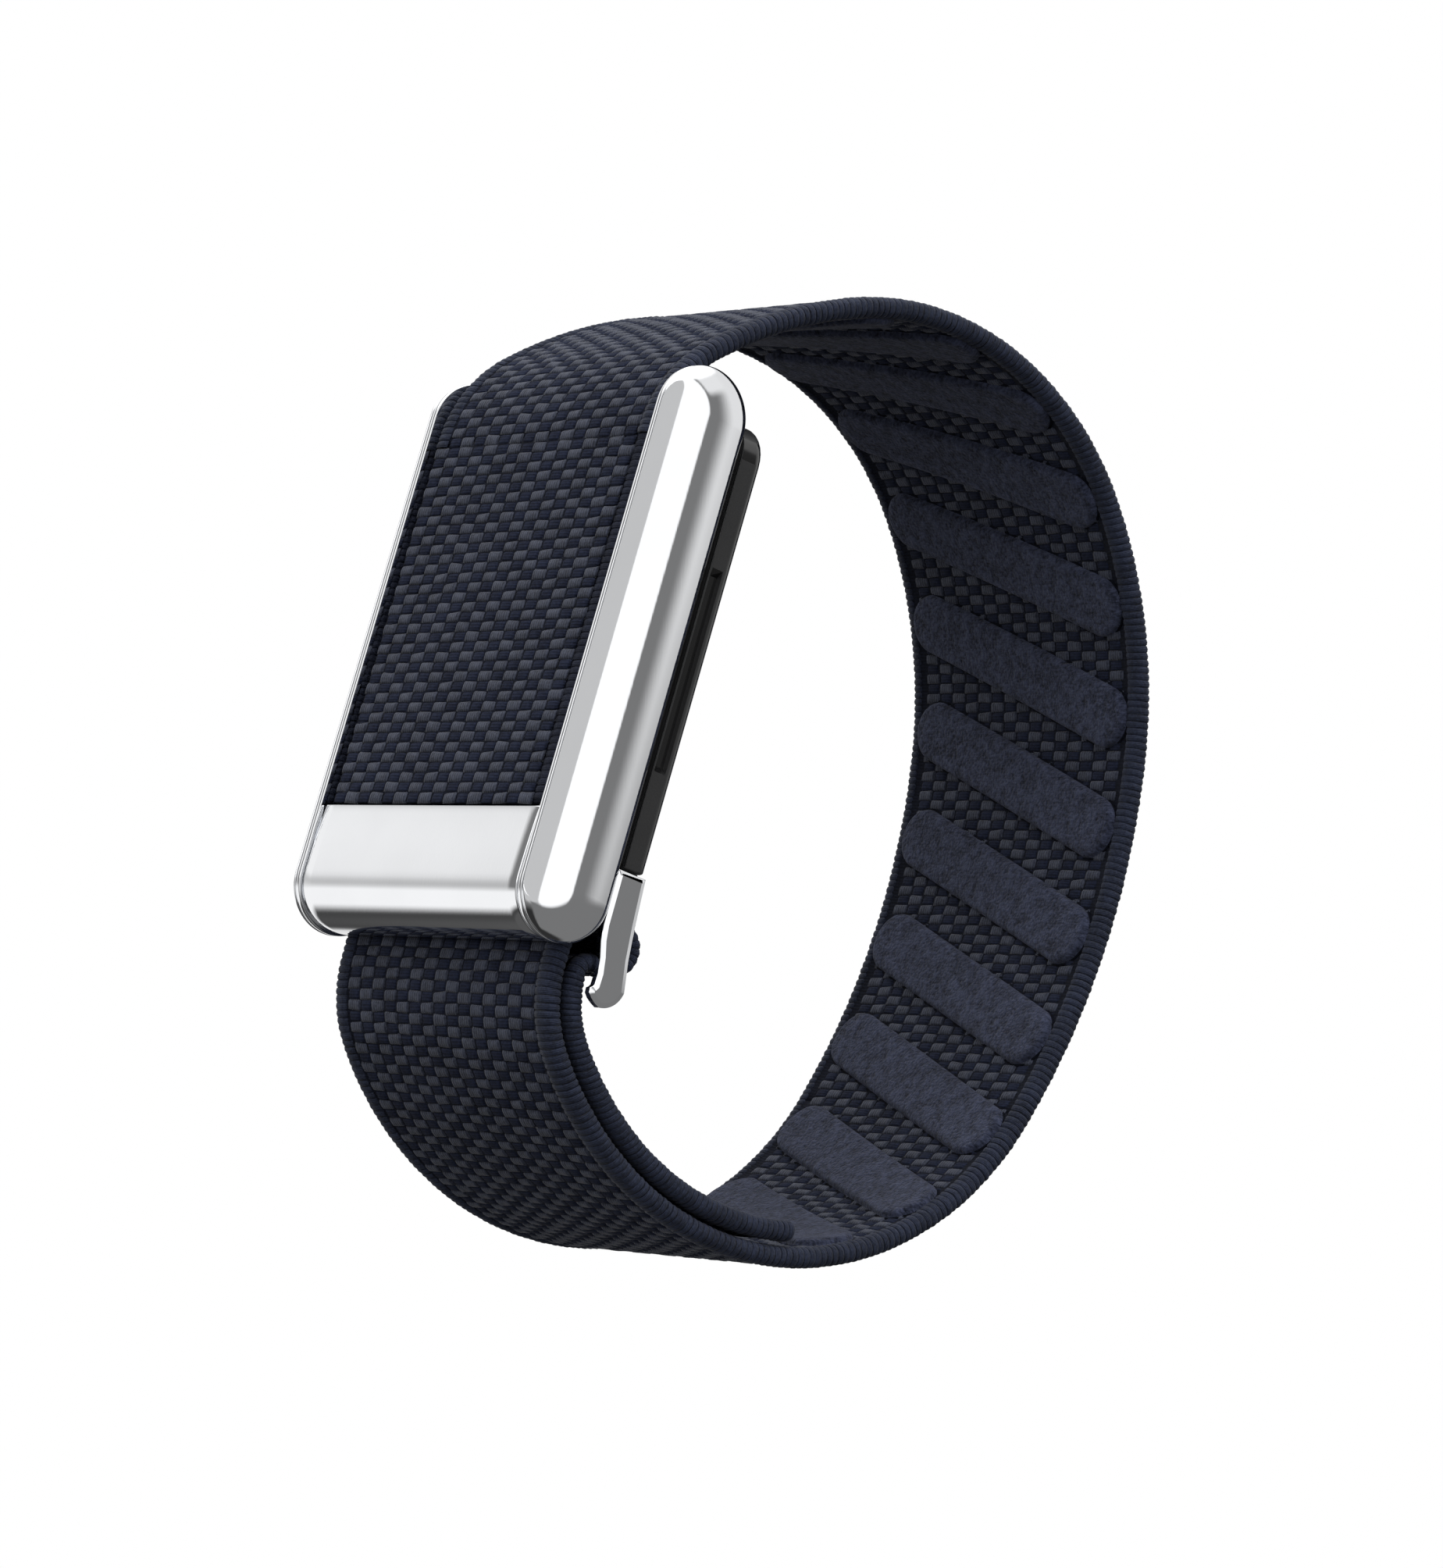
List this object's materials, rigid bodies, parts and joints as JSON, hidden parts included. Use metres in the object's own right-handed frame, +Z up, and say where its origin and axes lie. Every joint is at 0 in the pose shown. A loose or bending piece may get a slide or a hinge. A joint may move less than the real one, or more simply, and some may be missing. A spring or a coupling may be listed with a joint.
{
  "type": "fitness tracker band",
  "caption": "Screenless wrist tracker: sensor pod clipped in a hinged polished clasp on a closed knitted strap loop with slanted inner grip pads and a double-layer tail.",
  "frame": {"origin": "middle of the band's overall box, inside the wrist opening", "axes": "+X across the band's width, -Y towards the clasp's outer face, +Z up over the top of the loop, which is the longest side"},
  "size_m": [0.0288, 0.051, 0.0622],
  "materials": {
    "knit": "matte checker knit",
    "pad_felt": "short felt nap",
    "polished_metal": "mirror polish",
    "satin_steel": "fine brushed",
    "soft_rubber": "matte",
    "pod_shell": "satin",
    "sensor_lens": "gloss dark lens",
    "circuit_board": "solder mask",
    "emitter": "clear lens",
    "chip": "moulded package",
    "cell_can": "satin",
    "gold_contact": "plated"
  },
  "bodies": {
    "band": {"strap_over_hinge": "knit", "strap_crown": "knit", "strap_shoulder": "knit", "strap_back": "knit", "strap_base_rear": "knit", "strap_base_front": "knit", "strap_rise": "knit", "strap_hook_fold": "knit", "strap_tail_upper": "knit", "strap_tail_lower": "knit", "tail_end_binding": "knit", "grip_pad_01": "pad_felt", "grip_pad_02": "pad_felt", "grip_pad_03": "pad_felt", "grip_pad_04": "pad_felt", "grip_pad_05": "pad_felt", "grip_pad_06": "pad_felt", "grip_pad_07": "pad_felt", "grip_pad_08": "pad_felt", "grip_pad_09": "pad_felt", "grip_pad_10": "pad_felt", "grip_pad_11": "pad_felt", "grip_pad_12": "pad_felt", "hinge_bracket": "satin_steel", "carrier_plate": "satin_steel", "hook_bracket": "polished_metal", "hook_bar": "polished_metal", "latch_ledge": "satin_steel"},
    "clasp": {"strap_front_panel": "knit", "tongue_clamp_strip": "satin_steel", "cheek_left": "polished_metal", "cheek_right": "polished_metal", "cover_bar": "polished_metal", "hinge_pin": "satin_steel", "hinge_bush_left": "soft_rubber", "hinge_bush_right": "soft_rubber", "latch_leaf": "satin_steel"},
    "pod": {"pod_rear_case": "pod_shell", "pod_front_case": "pod_shell", "case_seal": "soft_rubber", "sensor_window": "sensor_lens", "sensor_board": "circuit_board", "green_led_top": "emitter", "green_led_bottom": "emitter", "infrared_led": "emitter", "photodiode_left": "chip", "photodiode_right": "chip", "light_barrier": "soft_rubber", "antenna_film": "gold_contact", "battery_cell": "cell_can", "main_board": "circuit_board", "processor": "chip", "haptic_motor": "cell_can", "charge_contact_left": "gold_contact", "charge_contact_right": "gold_contact"}
  },
  "joints": [
    {"name": "clasp_hinge", "type": "hinge", "parent": "band", "child": "clasp", "pos_m": [0, -0.01187, 0.02284], "axis": [-1, 0, 0], "range_deg": [0, 95], "deforming": ["strap_over_hinge"]},
    {"name": "pod_release", "type": "slide", "parent": "band", "child": "pod", "axis": [0, 0.9438, -0.3305], "range_m": [0, 0.012]}
  ]
}
